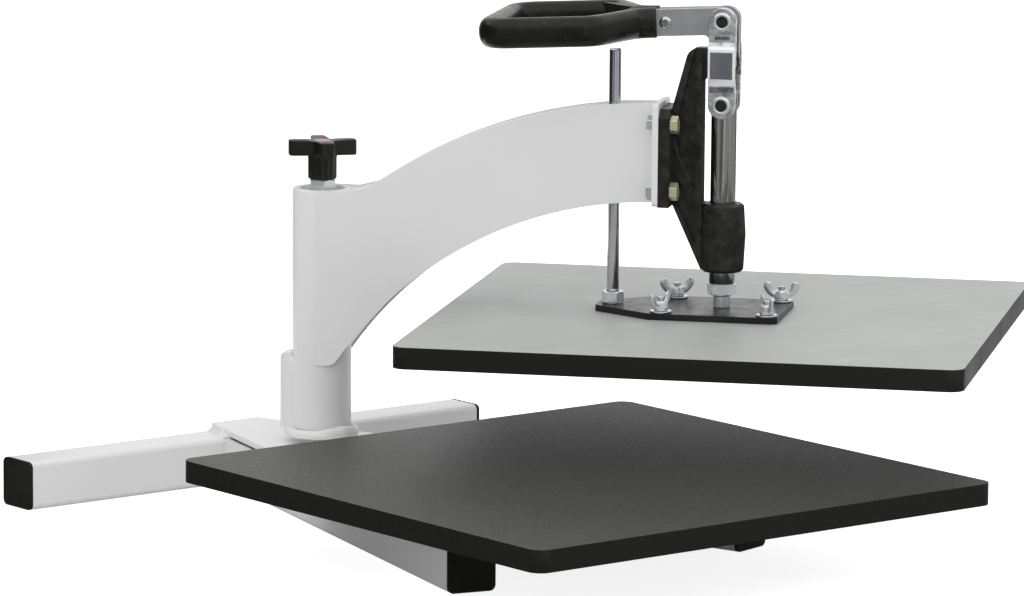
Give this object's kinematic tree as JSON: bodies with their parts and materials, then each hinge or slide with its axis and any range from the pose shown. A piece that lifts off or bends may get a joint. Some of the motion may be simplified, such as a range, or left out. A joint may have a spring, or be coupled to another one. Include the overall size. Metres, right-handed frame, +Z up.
{
  "type": "dough press",
  "caption": "Manual dough press with a fixed lower platen and a swing-away upper platen driven by a toggle clamp.",
  "frame": {"origin": "middle of the rear cross tube's underside, on the bench", "axes": "+Z up, +X along the cross tube to the operator's right, front and operator towards -Y"},
  "size_m": [0.7664, 0.6975, 0.4188],
  "materials": {
    "white_paint": "satin powder coat",
    "black_plastic": "matt moulded",
    "bare_steel": "ground",
    "black_platen": "non-stick coat",
    "grey_platen": "milled, black edge",
    "zinc": "bright zinc plate",
    "yellow_zinc": "yellow zinc plate",
    "bronze": "oiled",
    "copper": "dull",
    "black_casting": "painted casting",
    "black_bracket": "gloss coat",
    "black_vinyl": "dipped vinyl"
  },
  "bodies": {
    "base": {"cross_tube": "white_paint", "left_leg": "white_paint", "right_leg": "white_paint", "cross_tube_caps": "black_plastic", "leg_caps": "black_plastic", "base_plate": "white_paint", "post": "bare_steel", "lower_platen": "black_platen", "platen_spacers": "zinc", "platen_bolts": "zinc"},
    "thrust": {"thrust_pad": "bronze"},
    "arm": {"sleeve": "white_paint", "sleeve_collar": "white_paint", "sleeve_plug": "bare_steel", "near_arm_plate": "white_paint", "far_arm_plate": "white_paint", "arm_top_strip": "white_paint", "arm_bottom_strip": "white_paint", "end_flange": "white_paint", "stop_lug": "white_paint", "jam_nut": "zinc", "clamp_body": "black_casting", "clamp_bolts": "zinc", "clamp_nuts": "yellow_zinc", "main_pivot_pin": "zinc"},
    "knob": {"star_knob": "black_plastic", "knob_insert": "copper", "knob_screw": "zinc"},
    "handle": {"handle_strap": "zinc", "handle_grip": "black_vinyl", "handle_rivet": "zinc"},
    "link": {"near_link": "zinc", "far_link": "zinc", "upper_link_pin": "zinc", "lower_link_bushes": "zinc"},
    "ram": {"plunger": "bare_steel", "plunger_pin": "zinc", "plunger_nut": "zinc", "ram_stud": "zinc", "platen_bracket": "black_bracket", "bracket_studs": "zinc", "washers": "zinc", "wing_nuts": "zinc", "upper_platen": "grey_platen", "guide_rod": "bare_steel", "guide_rod_nut": "zinc"}
  },
  "joints": [
    {"name": "arm_swing", "type": "hinge", "parent": "base", "child": "thrust", "pos_m": [0, -0.105, 0.2], "axis": [0, 0, 1], "range_deg": [-40.2, 50]},
    {"name": "arm_lift", "type": "slide", "parent": "thrust", "child": "arm", "axis": [0, 0, 1], "range_m": [-0.00525, 0]},
    {"name": "knob_turn", "type": "hinge", "parent": "thrust", "child": "knob", "pos_m": [0, -0.105, 0.25], "axis": [0, 0, 1], "range_deg": [0, 1080]},
    {"name": "handle_turn", "type": "hinge", "parent": "arm", "child": "handle", "pos_m": [0.21623, -0.36087, 0.3735], "axis": [0.7638, 0.6455, 0], "range_deg": [0, 180]},
    {"name": "link_turn", "type": "hinge", "parent": "handle", "child": "link", "pos_m": [0.21623, -0.36087, 0.40765], "axis": [0.7638, 0.6455, 0], "range_deg": [-180, 0]},
    {"name": "press_stroke", "type": "slide", "parent": "arm", "child": "ram", "axis": [0, 0, 1], "range_m": [-0.0683, 0]}
  ],
  "couplings": [
    {"joint": "knob_turn", "follows": "arm_lift", "rad_per_m": -3590.4},
    {"joint": "link_turn", "follows": "handle_turn", "ratio": -1},
    {"joint": "press_stroke", "follows": "handle_turn", "m_per_rad": -0.02174}
  ]
}
